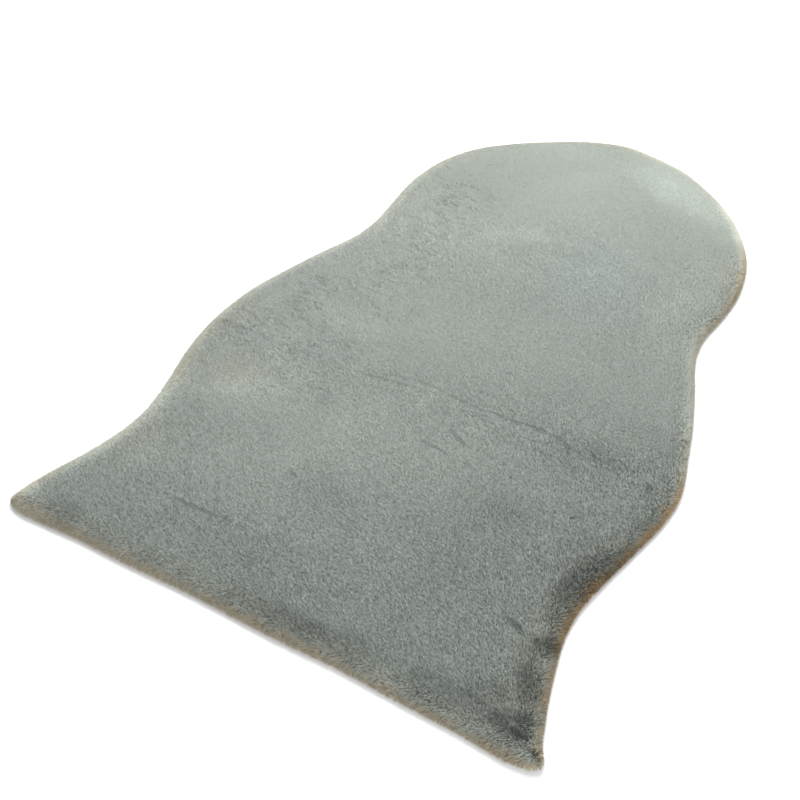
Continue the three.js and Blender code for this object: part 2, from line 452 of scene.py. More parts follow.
# ----------------------------------------------------------- lie of the pile
lie_wide = Noise(120.0, 2, seed=51)
lie_mid = Noise(34.0, 2, seed=52)
lie_fine = Noise(9.0, 2, seed=53)
tone_wide = Noise(95.0, 1, seed=61)
tone_mid = Noise(24.0, 1, seed=62)
tone_fine = Noise(6.5, 1, seed=63)
rough_patch = Noise(60.0, 1, seed=64)
dashes = Noise(7.0, 1, seed=65)
rim_noise = Noise(22.0, 1, seed=66)
streaks = Noise(2.5, 1, seed=67)
streak_mask = Noise(26.0, 1, seed=68)

FAR = np.array([-0.51, 0.86])  # the side where the pile spreads most over the edge
LEAN = (-0.48, 0.02)  # how the pile lies by itself, in plan
LIE_WIDE, LIE_MID, LIE_FINE, LIE_TUFT, LIE_LOCK = 0.04, 0.015, 0.02, 0.08, 0.16
GATHER = 0.20  # how far the tips of a tuft draw together
SOFT, ROUND = 0.76, 0.24  # shading normals: share of the surface's own, and how round a lock looks
UPRIGHT = 1.1  # shading normals turn up over the rolled edge, since light passes through the tips there
TUFT_TONE, LOCK_TONE = 0.25, 0.92
# How ruffled the pile is, by the distance from the hem: most near the hem, least at the head
RUFFLED = (
    (60, 1.18),
    (150, 1.10),
    (250, 0.95),
    (290, 0.98),
    (340, 1.12),
    (380, 0.90),
    (420, 0.76),
    (480, 0.68),
    (540, 0.82),
    (600, 0.83),
    (660, 0.72),
    (720, 0.49),
    (800, 0.26),
)
# painted shade: the pile's colour is darkened where it lies smooth, in place of the painted root and foot shade eased
# off there
DIM = 0.13  # where the pile lies smooth it hides its dark foot, so its own colour is a little deeper
# Light painted on the outermost hair: x, y, how much warmer its tips are painted with light bounced from the floor, how
# much lighter than the field it is painted as rim light (below zero, painted shade), how far in from the outline it is
# lighter, and warmer
RIM_PAINTED_LIGHT = (
    (-290, 20, 0.33, 0.41, 30, 28),
    (-200, 4, 0.40, 0.26, 14, 13),
    (0, 5, 0.40, 0.20, 14, 13),
    (200, 4, 0.40, 0.10, 14, 13),
    (296, 8, 0.46, 0.02, 14, 13),
    (272, 80, 0.56, -0.18, 18, 12.5),
    (257, 160, 1.00, -0.09, 18, 14),
    (262, 215, 1.00, -0.20, 18, 14),
    (276, 275, 1.00, -0.18, 14, 12.5),
    (283, 330, 0.88, 0.14, 18, 13.5),
    (272, 400, 0.20, 0.28, 22, 12),
    (240, 500, 0.15, 0.10, 22, 13),
    (216, 590, 0.32, 0.05, 20, 11.5),
    (221, 650, 0.62, 0.04, 18, 12),
    (217, 720, 0.58, 0.18, 18, 12.5),
    (183, 795, 0.13, 0.36, 24, 16),
    (90, 872, 0.13, 0.21, 18, 34),
    (-60, 885, 0.15, 0.22, 18, 40),
    (-185, 795, 0.13, 0.25, 20, 38),
    (-222, 675, 0.08, 0.34, 24, 34),
    (-219, 590, 0.08, 0.31, 24, 32),
    (-243, 500, 0.06, 0.30, 24, 34),
    (-275, 400, 0.05, 0.30, 26, 24),
    (-274, 270, 0.13, 0.40, 28, 34),
    (-255, 170, 0.07, 0.30, 28, 24),
    (-275, 75, 0.07, 0.27, 28, 22),
)

# Where the nap lies another way, and where light and shade are painted into the pile's colour, partly its own tone too:
# x, y, reach x, reach y, turn in degrees, tone, nap x, nap y
PATCHES = (
    ("head_lit", 118, 838, 150, 62, -30, 0.24, 0.1, 0.4),
    ("head_lit_edge", 120, 842, 84, 26, -30, -0.10, 0.0, 0.2),
    ("head_right_edge", 186, 772, 30, 34, 0, 0.09, 0.0, 0.0),
    ("head_wisp_a", 80, 813, 16, 6, 20, 0.10, 0.0, 0.3),
    ("head_wisp_b", 121, 805, 17, 7, -22, 0.12, 0.0, 0.3),
    ("head_wisp_c", 147, 796, 16, 6, -20, 0.08, 0.0, 0.3),
    ("head_left", -140, 760, 110, 140, 0, -0.21, 0.0, 0.0),
    ("head_right", 130, 720, 110, 120, 0, 0.01, 0.0, 0.0),
    ("head_mark", -74, 628, 30, 14, 50, -0.00, 0.0, 0.2),
    ("head_streak", -40, 695, 95, 18, 62, -0.02, 0.0, 0.0),
    ("crown", 5, 862, 120, 34, 0, -0.09, 0.0, 0.0),
    ("neck_right", 200, 640, 70, 140, 0, 0.12, 0.30, 0.1),
    ("neck_rim", 214, 640, 26, 110, 0, 0.13, 0.0, 0.0),
    ("neck_low_rim", 222, 560, 26, 60, 12, 0.13, 0.0, 0.0),
    ("neck_dark_spot", 212, 662, 12, 26, 0, -0.16, 0.0, 0.0),
    ("neck_dark_broad", 190, 664, 30, 34, 0, -0.12, 0.0, 0.0),
    ("head_right_light", 198, 732, 18, 26, 0, 0.13, 0.0, 0.0),
    ("crown_dark", -39, 818, 34, 18, 10, -0.13, 0.0, 0.0),
    ("crown_light", 11, 848, 30, 16, 0, 0.10, 0.0, 0.0),
    ("middle_dark", 36, 643, 40, 18, 30, -0.10, 0.0, 0.0),
    ("middle_light", -33, 650, 34, 18, 20, 0.04, 0.0, 0.2),
    ("taper_right", 248, 465, 34, 60, 10, 0.23, 0.3, 0.0),
    ("taper_left", -235, 480, 36, 90, -12, -0.02, 0.0, 0.0),
    ("middle", 20, 465, 130, 75, 0, 0.09, 0.0, 0.0),
    ("middle_low", 20, 250, 130, 110, 0, 0.11, 0.0, 0.0),
    ("low_middle", 30, 125, 120, 70, 0, 0.14, 0.0, 0.0),
    ("left_hip_light", -184, 250, 56, 22, 30, 0.11, 0.1, 0.1),
    ("left_hip_broad", -160, 265, 80, 60, 20, 0.21, 0.0, 0.0),
    ("left_light_upper", -128, 408, 60, 34, 10, 0.07, 0.0, 0.1),
    ("left_dark_low", -150, 188, 46, 20, 0, -0.03, 0.0, 0.0),
    ("left_dark_side", -250, 292, 16, 26, 10, -0.02, 0.0, 0.0),
    ("left_dark_side_low", -218, 200, 20, 18, 0, -0.01, 0.0, 0.0),
    ("left_band", -232, 380, 18, 70, -14, 0.05, 0.0, 0.0),
    ("left_band_upper", -180, 600, 22, 110, -5, 0.05, 0.0, 0.0),
    ("left_of_middle", -60, 215, 70, 130, 0, 0.14, 0.0, 0.0),
    ("left_dark_middle", -16, 170, 44, 36, 0, -0.13, 0.0, 0.0),
    ("left_rim", -246, 190, 26, 90, 0, 0.27, 0.0, 0.0),
    ("left_low_rim", -262, 90, 26, 60, -10, 0.19, 0.0, 0.0),
    ("left_low_light", -210, 122, 28, 32, 0, 0.15, 0.0, 0.0),
    ("left_mid_dark", -91, 279, 24, 20, 0, -0.13, 0.0, 0.0),
    ("left_mid_light", -163, 319, 30, 16, 10, 0.13, 0.0, 0.0),
    ("hem_left_dark", -124, 64, 40, 22, 0, -0.10, 0.0, 0.0),
    ("left_tip", -277, 24, 22, 16, 0, 0.24, 0.0, 0.0),
    ("left_corner_dark", -226, 23, 26, 17, 0, -0.22, 0.0, -0.1),
    ("hem_light_gap", -53, 31, 24, 16, 0, 0.05, 0.0, 0.0),
    ("hem_dark", 60, 25, 90, 18, 0, -0.39, 0.0, 0.0),
    ("hem_dark_mid", 108, 38, 28, 14, 0, -0.21, 0.0, 0.0),
    ("hem_dark_right", 184, 30, 52, 19, 0, -0.31, 0.0, 0.0),
    ("right_waist_dark", 243, 191, 18, 48, -12, -0.58, 0.3, 0.0),
    ("right_waist_low", 247, 150, 16, 26, 10, -0.32, 0.1, 0.0),
    ("right_waist_high", 262, 240, 16, 42, -24, -0.35, 0.2, 0.0),
    ("right_waist_broad", 236, 226, 34, 62, 0, -0.16, 0.0, 0.0),
    ("right_waist_edge", 274, 286, 18, 46, -12, -0.12, 0.1, 0.0),
    ("right_low_spot", 249, 119, 13, 17, 0, -0.80, 0.1, 0.0),
    ("right_low_gap", 243, 96, 18, 26, 20, -0.20, 0.0, 0.0),
    ("right_low_edge", 255, 70, 14, 32, 28, -0.68, 0.1, 0.0),
    ("corner_dark", 257, 32, 22, 13, 30, -0.72, 0.2, -0.3),
    ("corner_tip", 292, 11, 16, 12, 0, 0.24, 0.4, -0.35),
    ("corner_side", 270, 34, 11, 20, 8, -0.46, 0.1, 0.0),
    ("corner_dark_broad", 236, 38, 44, 30, -20, -0.26, 0.1, -0.1),
    ("spot_a", 220, 37, 9, 6, 0, -0.07, 0.0, 0.0),
    ("spot_b", 237, 43, 9, 6, 0, -0.01, 0.0, 0.0),
    ("spot_c", 217, 122, 12, 5, -22, -0.70, 0.0, 0.0),
    ("hip_dark", 165, 338, 90, 34, -5, -0.03, 0.0, -0.1),
    ("hip_dark_right", 212, 360, 60, 22, -3, -0.16, 0.0, 0.0),
    ("low_hip_dark", 135, 238, 60, 34, 0, -0.14, 0.0, 0.0),
    ("low_hip_core", 136, 236, 30, 16, 0, -0.09, 0.0, 0.0),
)


# Where the pile stands more ruffled than around: x, y, reach x, reach y, how much
RUFFLES = (
    ("hip", 195, 350, 84, 34, 0.16),
    ("left_low", -170, 175, 120, 90, 0.24),
    ("neck", 205, 600, 60, 150, -0.24),
    ("head_lit", 130, 812, 90, 50, -0.34),
    ("hem_left", -90, 92, 90, 34, 0.14),
    ("head_lit_low", 168, 776, 62, 42, -0.28),
    ("head_left", -108, 722, 72, 70, -0.12),
    ("right_taper", 225, 480, 60, 110, -0.13),
    ("left_hip", -188, 265, 62, 46, -0.17),
    ("waist_rim", 252, 190, 26, 74, 0.34),
    ("corner", 246, 62, 64, 72, 0.18),
    ("corner_tip", 290, 12, 20, 14, -0.35),
    ("left_band", -205, 470, 60, 130, 0.14),
)

# Points that the pile parts away from: x, y, reach, strength
WHORLS = (
    ("corner", 260, 31, 34, 0.75),
    ("waist", 236, 121, 16, 0.4),
    ("hip_end", 250, 345, 20, 0.3),
)

# Where the pile's colour leans to beige (or, below zero, to grey-blue): x, y, reach x, reach y, amount
CASTS = (
    ("left_hip", -200, 268, 56, 52, 0.042),
    ("left_hip_edge", -258, 240, 26, 40, 0.040),
    ("left_side", -262, 350, 36, 60, 0.034),
    ("left_side_upper", -174, 403, 46, 40, 0.022),
    ("left_low", -240, 140, 50, 60, 0.026),
    ("right_low", 262, 150, 44, 130, 0.055),
    ("right_corner", 270, 30, 60, 50, 0.030),
    ("head_right", 212, 700, 34, 60, 0.055),
    ("head_left", -205, 750, 40, 60, 0.030),
    ("crown", 10, 885, 150, 26, 0.030),
    ("crown_right", 150, 830, 50, 40, 0.024),
    ("hem", 0, 10, 300, 40, 0.012),
    ("middle_cool", 65, 620, 95, 130, -0.022),
)


def casts(x, y):
    total = np.zeros_like(x)
    for _, px, py, rx, ry, amount in CASTS:
        px, py = to_row(px, py)
        total += amount * bump(np.hypot((x - px) / rx, (y - py) / ry) / 1.15)
    return total


def patch_fields(x, y):
    tone = np.zeros_like(x)
    nap = np.zeros(x.shape + (2,))
    for _, px, py, rx, ry, turn, amount, nx, ny in PATCHES:
        px, py = to_row(px, py)
        c, s = math.cos(math.radians(turn)), math.sin(math.radians(turn))
        dx, dy = x - px, y - py
        u = (dx * c + dy * s) / rx
        v = (-dx * s + dy * c) / ry
        w = bump(np.hypot(u, v) / 1.15)
        tone += amount * w
        nap[..., 0] += nx * w
        nap[..., 1] += ny * w
    return tone, nap


# Painted light: a pool of light painted on the pile at the head, on its side towards the window light, above a line
# from (x1, y1) to (x2, y2): tone
PAINTED_LIGHT_PATCHES = (
    ("head_lit_1", 10, 825, 58, 800, 0.14),
    ("head_lit_2", 58, 800, 104, 788, 0.21),
    ("head_lit_3", 104, 788, 160, 781, 0.24),
    ("head_lit_4", 160, 781, 184, 764, 0.14),
)


def painted_light_patches(x, y):
    total = np.zeros_like(x)
    for _, x1, y1, x2, y2, amount in PAINTED_LIGHT_PATCHES:
        x1, y1 = to_row(x1, y1)
        x2, y2 = to_row(x2, y2)
        length = math.hypot(x2 - x1, y2 - y1)
        ux, uy = (x2 - x1) / length, (y2 - y1) / length
        along = (x - x1) * ux + (y - y1) * uy
        above = -(x - x1) * uy + (y - y1) * ux + 3.0 * wander(x, y)
        ends = smooth01((along + 12.0) / 24.0) * smooth01((length + 12.0 - along) / 24.0)
        total += amount * ends * smooth01(above / 9.0) * smooth01((70.0 - above) / 40.0)
    return total


def liveliness(x, y):
    """How ruffled the pile is at a place: more towards the right, above all near the hem."""
    at, value = np.array(RUFFLED).T
    up = y + SHIFT_Y
    slope = 0.0005 + 0.0012 * bump(np.abs(up - 215.0) / 110.0) + 0.0012 * bump(np.abs(up - 370.0) / 90.0)
    return np.interp(up, at, value) + slope * (np.maximum(x, -100.0) - 20.0)


def ruffle(x, y, depth):
    """Where the left side's pile stands ruffled in strokes, inwards of its smooth rim: how much, and the shade painted
    into its gaps.
    """
    up = y + SHIFT_Y
    side = smooth01((-x - 40.0) / 110.0) * smooth01((up - 215.0) / 60.0)
    side = side * (1 - smooth01((up - 680.0) / 90.0)) * smooth01((depth - 9.0) / 14.0)
    side = side * np.clip(0.86 + 0.36 * streak_mask(x * 0.6, y), 0.2, 1.35)
    n = streaks(x * 0.27, y + 0.12 * x)
    return side * np.clip(0.2 + 0.5 * n, 0.0, 1.0), side * np.clip(n - 0.15, 0.0, 1.2)


def rim_painted_light(x, y):
    """Painted light for the outermost hair: the warmth of light bounced from the floor, how much lighter it is painted
    as rim light, and their reaches, eased from one row of the table to the next.
    """
    total = np.zeros_like(x)
    found = np.zeros((4,) + x.shape)
    for rx, ry, *row in RIM_PAINTED_LIGHT:
        rx, ry = to_row(rx, ry)
        near = np.exp(-((x - rx) ** 2 + (y - ry) ** 2) / 45.0**2) + 1e-9
        total += near
        found += near * np.array(row)[:, None]
    return found / total


def scatter(count, rim):
    """Roots on the ground's upper side and edge, in the rim's band or over the field: points, normals."""
    a, b, c = (G_CO[G_TRI[:, k]] for k in range(3))
    area = np.linalg.norm(np.cross(b - a, c - a), axis=1) / 2
    centre = (a + b + c) / 3
    depth = sample(DEPTH, centre[:, 0], centre[:, 1])
    facing = unit(np.cross(b - a, c - a))[:, 2]
    share = smooth01((RIM_REACH + 5.0 - depth) / 10.0)
    weight = area * (share if rim else 1.0 - share)
    if rim:
        weight *= 1.0 + 0.5 * smooth01((15.0 - depth) / 9.0)
    weight *= np.where(facing < -0.35, 0.0, 1.0)
    order = np.lexsort((centre[:, 0], np.round(centre[:, 1] / 6.0)))
    total = np.cumsum(weight[order])
    pick = (np.arange(count) + RNG.random(count)) / count * total[-1]
    tri = G_TRI[order[np.searchsorted(total, pick).clip(0, len(order) - 1)]]
    r1, r2 = np.sqrt(RNG.random(count)), RNG.random(count)
    w = np.stack([1 - r1, r1 * (1 - r2), r1 * r2], 1)[..., None]
    p = (G_CO[tri] * w).sum(1)
    n = unit((G_NORMAL[tri] * w).sum(1))
    return p, n


def clump_centres(x, y, cell):
    """The nearest point of a jittered lattice, and a seeded number in 0..1 for it."""
    table = np.random.default_rng(77).random((512, 512, 3))
    fx, fy = (x + 400) / cell, (y + 600) / cell
    best = np.full(x.shape, 1e9)
    cx, cy, key = np.zeros_like(x), np.zeros_like(x), np.zeros_like(x)
    for ox in (-1, 0, 1):
        for oy in (-1, 0, 1):
            ix = np.floor(fx).astype(int) + ox
            iy = np.floor(fy).astype(int) + oy
            t = table[iy % 512, ix % 512]
            px, py = ix + t[..., 0], iy + t[..., 1]
            d = (px - fx) ** 2 + (py - fy) ** 2
            near = d < best
            best = np.where(near, d, best)
            cx = np.where(near, px, cx)
            cy = np.where(near, py, cy)
            key = np.where(near, t[..., 2], key)
    return cx * cell - 400, cy * cell - 600, key


def pile(locks, rim):
    """Locks of the rim (bent, four corners) or of the field (straight, three corners): corners, shading normals,
    brightness with painted light and shade, warmth of painted floor bounce.
    """
    p, n = scatter(locks, rim)
    x, y = p[:, 0], p[:, 1]
    count = len(x)
    depth = sample(DEPTH, x, y)
    out = unit(np.stack([sample(OUT_X, x, y), sample(OUT_Y, x, y)], 1))
    cx, cy, key = clump_centres(x, y, CLUMP)
    key2 = np.modf(key * 91.7)[0]
    key3 = np.modf(key * 613.3)[0]
    tone, nap = patch_fields(x, y)

    # which way the pile leans, in plan, and by how much
    strokes, gaps = ruffle(x, y, depth)
    lively = liveliness(x, y) + 0.38 * strokes
    for _, px, py, rx, ry, more in RUFFLES:
        px, py = to_row(px, py)
        lively += more * bump(np.hypot((x - px) / rx, (y - py) / ry) / 1.15)
    a = key2 * 2 * np.pi
    stray = LIE_WIDE * lie_wide(cx, cy) + LIE_MID * lie_mid(cx, cy)
    stray += LIE_FINE * lie_fine(cx, cy)
    stray += LIE_TUFT * np.stack([np.cos(a), np.sin(a)], 1)
    stray += LIE_LOCK * RNG.standard_normal((count, 2))
    lean = np.array(LEAN) + nap + stray * lively[:, None]
    ragged = depth + 3.5 * rim_noise(x, y) + 2.0 * lie_fine(cx, cy)[:, 0]
    edge = smooth01((18.0 - np.minimum(ragged, depth + 6.0)) / 15.0)
    up = y + SHIFT_Y
    calm = smooth01((x - 80.0) / 80.0) * smooth01((up - 335.0) / 70.0)
    edge = (edge * (1 - 0.62 * calm * (1 - smooth01((up - 835.0) / 40.0))))[:, None]
    lean = lean * (1 - 0.65 * edge) + out * (0.6 * edge)
    for _, px, py, span, strength in WHORLS:
        px, py = to_row(px, py)
        away = np.stack([x - px, y - py], 1)
        w = strength * bump(np.linalg.norm(away, axis=1) / span)
        w = (w * smooth01((depth - 2.0) / 9.0))[:, None]
        lean = lean * (1 - w) + unit(away) * (0.9 * w)
    short = np.ones(count)
    dark = np.zeros(count)
    for c in CREASES:
        across, past = crease_reach(c, x, y)
        _, x1, y1, x2, y2, half, deep, part, _a = c
        ux, uy = x2 - x1, y2 - y1
        k = 1 / math.hypot(ux, uy)
        side = np.stack([-uy * k * np.sign(across), ux * k * np.sign(across)], 1)
        broken = np.clip(0.62 + 0.7 * dashes(x, y), 0.0, 1.0)
        ends = bump(past / 5.0) * part
        w = bump(np.abs(across) / 5.0) * ends * (0.4 + 0.6 * broken)
        lean = lean * (1 - 0.5 * w[:, None]) + side * (0.45 * w)[:, None]
        short = np.minimum(short, 1 - 0.4 * bump(np.abs(across) / 2.2) * ends * broken)
        # painted shade along the crease: a dark core and a faint wider band
        core = bump(np.abs(across) / 2.2) * ends * broken
        dark = np.maximum(dark, core + 0.09 * bump(np.abs(across) / 8.0) * ends)
    # painted shade in the gaps between the ruffled strokes
    dark += 0.27 * gaps
    # tangent of the ground that the lean follows; over the rolled edge it points down and out
    t = np.column_stack([lean, np.zeros(count)])
    steep = 1.0 - n[:, 2].clip(0, 1)
    t[:, 2] -= steep * 0.8
    t -= n * (t * n).sum(1, keepdims=True)
    amount = np.linalg.norm(t, axis=1).clip(0.05, 1.25)
    t = unit(t)
    spread = 0.85 + 0.3 * RNG.random(count)
    length = FIELD_LENGTH * (0.62 + 0.33 * lively)
    if rim:
        longest = RIM_LENGTH * (0.72 + 0.28 * np.minimum(lively, 1.0))
        length += (longest - length) * smooth01((15.0 - depth) / 13.0)
        lively = lively * (1 - 0.4 * smooth01((16.0 - depth) / 10.0))
    length *= 0.78 + 0.44 * RNG.random(count)
    length *= (0.92 + 0.16 * key3) * short * (1 + 0.05 * rough_patch(x, y))
    root = p - n * 1.0
    pull = np.column_stack([cx - x, cy - y, np.zeros(count)]) * (1 - steep)[:, None]
    reach = np.linalg.norm(pull, axis=1, keepdims=True)
    pull *= np.minimum(1.0, 1.5 / np.maximum(reach, 1e-6))
    gather = GATHER * (0.6 + 0.8 * RNG.random(count)[:, None])
    if rim:
        # two stretches: the lower stands up, the upper lies over
        low = (0.30 + 0.28 * amount) * spread + 0.25 * steep
        top = np.minimum((0.62 + 0.52 * amount) * spread + 0.45 * steep, 1.45)
        d_low = n * np.cos(low)[:, None] + t * np.sin(low)[:, None]
        d_top = n * np.cos(top)[:, None] + t * np.sin(top)[:, None]
        mid = root + d_low * (0.46 * length)[:, None] + pull * gather * 0.35
        tip = mid + d_top * (0.54 * length)[:, None] + pull * gather * 0.65
        moved = (mid, tip)
    else:
        angle = np.minimum((0.34 + 0.62 * amount) * spread, 1.3)
        d = n * np.cos(angle)[:, None] + t * np.sin(angle)[:, None]
        mid = root
        tip = root + d * length[:, None] + pull * gather
        moved = (tip,)
    # no fibre goes under the floor or past the pile's outline by more than a little
    for q in moved:
        q[:, 2] = np.maximum(q[:, 2], 0.5 + 0.5 * RNG.random(count))
        free = 0.5 + (0.9 + 0.9 * np.abs(out[:, 1])) * RNG.random(count)
        free += 1.6 * smooth01((out @ FAR - 0.1) / 0.6)
        over = -sample(DEPTH, q[:, 0], q[:, 1]) - free
        q[:, :2] -= out * np.maximum(over, 0.0)[:, None]
    axis = unit(tip - mid)
    wide = unit(np.cross(axis, n) + 0.25 * RNG.standard_normal((count, 3)))
    wide = unit(wide - axis * (wide * axis).sum(1, keepdims=True))
    width = (RIM_WIDTH if rim else FIELD_WIDTH) * (0.72 + 0.56 * RNG.random(count))
    width *= 1 - 0.2 * steep
    flat = np.cross(wide, axis)
    flip = (flat * n).sum(1) < 0
    wide[flip] *= -1
    flat[flip] *= -1
    left = mid - wide * (width / 2)[:, None]
    right = mid + wide * (width / 2)[:, None]

    # shading normals: mostly the surface's, so that the pile reads soft
    own = ((1 - SOFT) * (0.35 + 0.65 * lively))[:, None]
    turn = wide * (ROUND * lively)[:, None]
    lifted = unit(n + np.array([0.0, 0.0, UPRIGHT]))
    soft = (1 - own) * lifted + own * flat
    n_left, n_right = unit(soft - turn), unit(soft + turn)
    n_tip = unit(soft + 0.15 * axis)
    if rim:
        corners = np.stack([root, left, right, tip], 1)
        normal = np.stack([unit(soft), n_left, n_right, n_tip], 1)
    else:
        corners = np.stack([left, right, tip], 1)
        normal = np.stack([n_left, n_right, n_tip], 1)

    # brightness: by place, with light and shade painted in by the patches and the painted pool of light at the head; by
    # tuft; by lock
    mottle = 0.3 + 0.7 * key3 + 0.7 * RNG.random(count)  # a dark place is dark in its gaps, between lighter tufts
    shade = 1.0 + np.where(tone < 0.0, tone * mottle, tone) + painted_light_patches(x, y)
    shade += 0.010 * tone_wide(x, y) + 0.007 * tone_mid(x, y)
    own = 0.012 * tone_fine(cx, cy) + TUFT_TONE * (key - 0.5)
    own += LOCK_TONE * (1 / 3 - RNG.random(count) ** 2)  # a few dark fibres among many light ones
    shade += own * lively
    # painted shade in the creases and in the gaps of the ruffled strokes
    shade *= 1 - 0.50 * np.minimum(dark, 1.3)
    # painted shade where the pile lies smooth
    shade *= 1 - DIM * (1.3 - liveliness(x, y))
    shade = np.maximum(shade, 0.12)
    # painted rim light: the outermost hair is painted lighter (where the table's value is below zero, darker as painted
    # shade), and its tips are painted warmer with light bounced from the floor
    floor_bounce_warmth, rim_light_gain, far, warm_far = rim_painted_light(x, y)
    shade *= 1 + rim_light_gain * smooth01((far - depth) / far)
    inside = 0.9 * warm_far - depth + 0.8 * lie_fine(x, y)[:, 0]
    floor_bounce_warmth *= smooth01(inside / (0.7 * warm_far))
    cast = casts(x, y) + 0.018 * smooth01((26.0 - depth) / 20.0)
    return corners, normal, shade, floor_bounce_warmth, cast, lively


# ---------------------------------------------------------------- materials
SAGE = np.array([0.288, 0.317, 0.286])  # linear colour of the fibre
# tan of the light bounced from the floor, painted on the outermost tips
BOUNCE_TAN = np.array([0.365, 0.243, 0.112])


def principled(name):
    mat = bpy.data.materials.new(name)
    mat.use_nodes = True
    nt = mat.node_tree
    bsdf = next(nd for nd in nt.nodes if nd.type == "BSDF_PRINCIPLED")
    return mat, nt, bsdf


def fibre_material():
    """Colour is carried by the locks themselves, from root to tip, with painted root shade, painted light and shade by
    place and painted floor bounce at the rim, and a faint mottling follows the rug's own coordinates.
    """
    mat, nt, bsdf = principled("faux_fur_pile")
    colour = nt.nodes.new("ShaderNodeAttribute")
    colour.attribute_name = "fibre"
    coords = nt.nodes.new("ShaderNodeTexCoord")
    mottle = nt.nodes.new("ShaderNodeTexNoise")
    mottle.inputs["Scale"].default_value = 260.0
    mottle.inputs["Detail"].default_value = 2.0
    mottle.inputs["Roughness"].default_value = 0.6
    ramp = nt.nodes.new("ShaderNodeMapRange")
    ramp.inputs["From Min"].default_value = 0.30
    ramp.inputs["From Max"].default_value = 0.70
    ramp.inputs["To Min"].default_value = 0.97
    ramp.inputs["To Max"].default_value = 1.03
    mix = nt.nodes.new("ShaderNodeVectorMath")
    mix.operation = "SCALE"
    nt.links.new(coords.outputs["Object"], mottle.inputs["Vector"])
    nt.links.new(mottle.outputs["Fac"], ramp.inputs["Value"])
    nt.links.new(colour.outputs["Color"], mix.inputs[0])
    nt.links.new(ramp.outputs["Result"], mix.inputs["Scale"])
    nt.links.new(mix.outputs["Vector"], bsdf.inputs["Base Color"])
    bsdf.inputs["Roughness"].default_value = 0.82
    bsdf.inputs["Specular IOR Level"].default_value = 0.22
    bsdf.inputs["Sheen Weight"].default_value = 0.22
    bsdf.inputs["Sheen Roughness"].default_value = 0.45
    return mat


def ground_material():
    """The dense foot of the pile, painted darker than its tips as the shade deep among the locks."""
    mat, nt, bsdf = principled("faux_fur_ground")
    coords = nt.nodes.new("ShaderNodeTexCoord")
    noise = nt.nodes.new("ShaderNodeTexNoise")
    noise.inputs["Scale"].default_value = 420.0
    noise.inputs["Detail"].default_value = 3.0
    ramp = nt.nodes.new("ShaderNodeValToRGB")
    ramp.color_ramp.elements[0].position = 0.30
    ramp.color_ramp.elements[0].color = (*(SAGE * 0.86), 1)
    ramp.color_ramp.elements[1].position = 0.72
    ramp.color_ramp.elements[1].color = (*(SAGE * 1.06), 1)
    light = nt.nodes.new("ShaderNodeAttribute")
    light.attribute_name = "fibre"
    scaled = nt.nodes.new("ShaderNodeVectorMath")
    scaled.operation = "MULTIPLY"
    bump_node = nt.nodes.new("ShaderNodeBump")
    bump_node.inputs["Strength"].default_value = 0.6
    bump_node.inputs["Distance"].default_value = 0.0012
    nt.links.new(coords.outputs["Object"], noise.inputs["Vector"])
    nt.links.new(noise.outputs["Fac"], ramp.inputs["Fac"])
    nt.links.new(ramp.outputs["Color"], scaled.inputs[0])
    nt.links.new(light.outputs["Color"], scaled.inputs[1])
    nt.links.new(scaled.outputs["Vector"], bsdf.inputs["Base Color"])
    nt.links.new(noise.outputs["Fac"], bump_node.inputs["Height"])
    nt.links.new(bump_node.outputs["Normal"], bsdf.inputs["Normal"])
    bsdf.inputs["Roughness"].default_value = 0.95
    bsdf.inputs["Specular IOR Level"].default_value = 0.1
    return mat


def back_material():
    """The knitted back of the plush, seen only from below."""
    mat, nt, bsdf = principled("plush_back")
    coords = nt.nodes.new("ShaderNodeTexCoord")
    waves = []
    for direction in ("X", "Y"):
        w = nt.nodes.new("ShaderNodeTexWave")
        w.bands_direction = direction
        w.inputs["Scale"].default_value = 95.0
        w.inputs["Distortion"].default_value = 0.6
        w.inputs["Detail"].default_value = 1.0
        nt.links.new(coords.outputs["Object"], w.inputs["Vector"])
        waves.append(w)
    both = nt.nodes.new("ShaderNodeMath")
    both.operation = "MULTIPLY"
    nt.links.new(waves[0].outputs["Fac"], both.inputs[0])
    nt.links.new(waves[1].outputs["Fac"], both.inputs[1])
    ramp = nt.nodes.new("ShaderNodeValToRGB")
    ramp.color_ramp.elements[0].color = (0.20, 0.215, 0.195, 1)
    ramp.color_ramp.elements[1].color = (0.36, 0.375, 0.345, 1)
    bump_node = nt.nodes.new("ShaderNodeBump")
    bump_node.inputs["Strength"].default_value = 0.4
    bump_node.inputs["Distance"].default_value = 0.0004
    nt.links.new(both.outputs[0], ramp.inputs["Fac"])
    nt.links.new(ramp.outputs["Color"], bsdf.inputs["Base Color"])
    nt.links.new(both.outputs[0], bump_node.inputs["Height"])
    nt.links.new(bump_node.outputs["Normal"], bsdf.inputs["Normal"])
    bsdf.inputs["Roughness"].default_value = 0.9
    return mat


fibre = fibre_material()
ground.materials.append(ground_material())
ground.materials.append(back_material())
ground.polygons[len(ground.polygons) - 1].material_index = 1
# painted shade: the foot is painted darker where the pile is ruffled, for the shadow in its gaps, and deeper where it
# lies smooth
ground_light = np.ones((len(G_CO), 4), np.float32)
ruffled = liveliness(G_CO[:, 0], G_CO[:, 1])
ground_light[:, :3] = ((1.0 - 0.42 * ruffled) * (1 - DIM * (1.3 - ruffled)))[:, None]
ground.color_attributes.new("fibre", "FLOAT_COLOR", "POINT").data.foreach_set(
    "color", ground_light.ravel()
)

# --------------------------------------------------------------- pile meshes
# painted shade: each lock's root is painted darker and its tip a little lighter, for the shadow deep in the pile
ROOT_SHADE, MID_SHADE, TIP_SHADE = 0.72, 0.92, 1.06
UV_OF = {
    4: np.array([[0.5, 0.08], [0.10, 0.5], [0.90, 0.5], [0.5, 0.92]]),
    3: np.array([[0.08, 0.10], [0.92, 0.10], [0.5, 0.92]]),
}


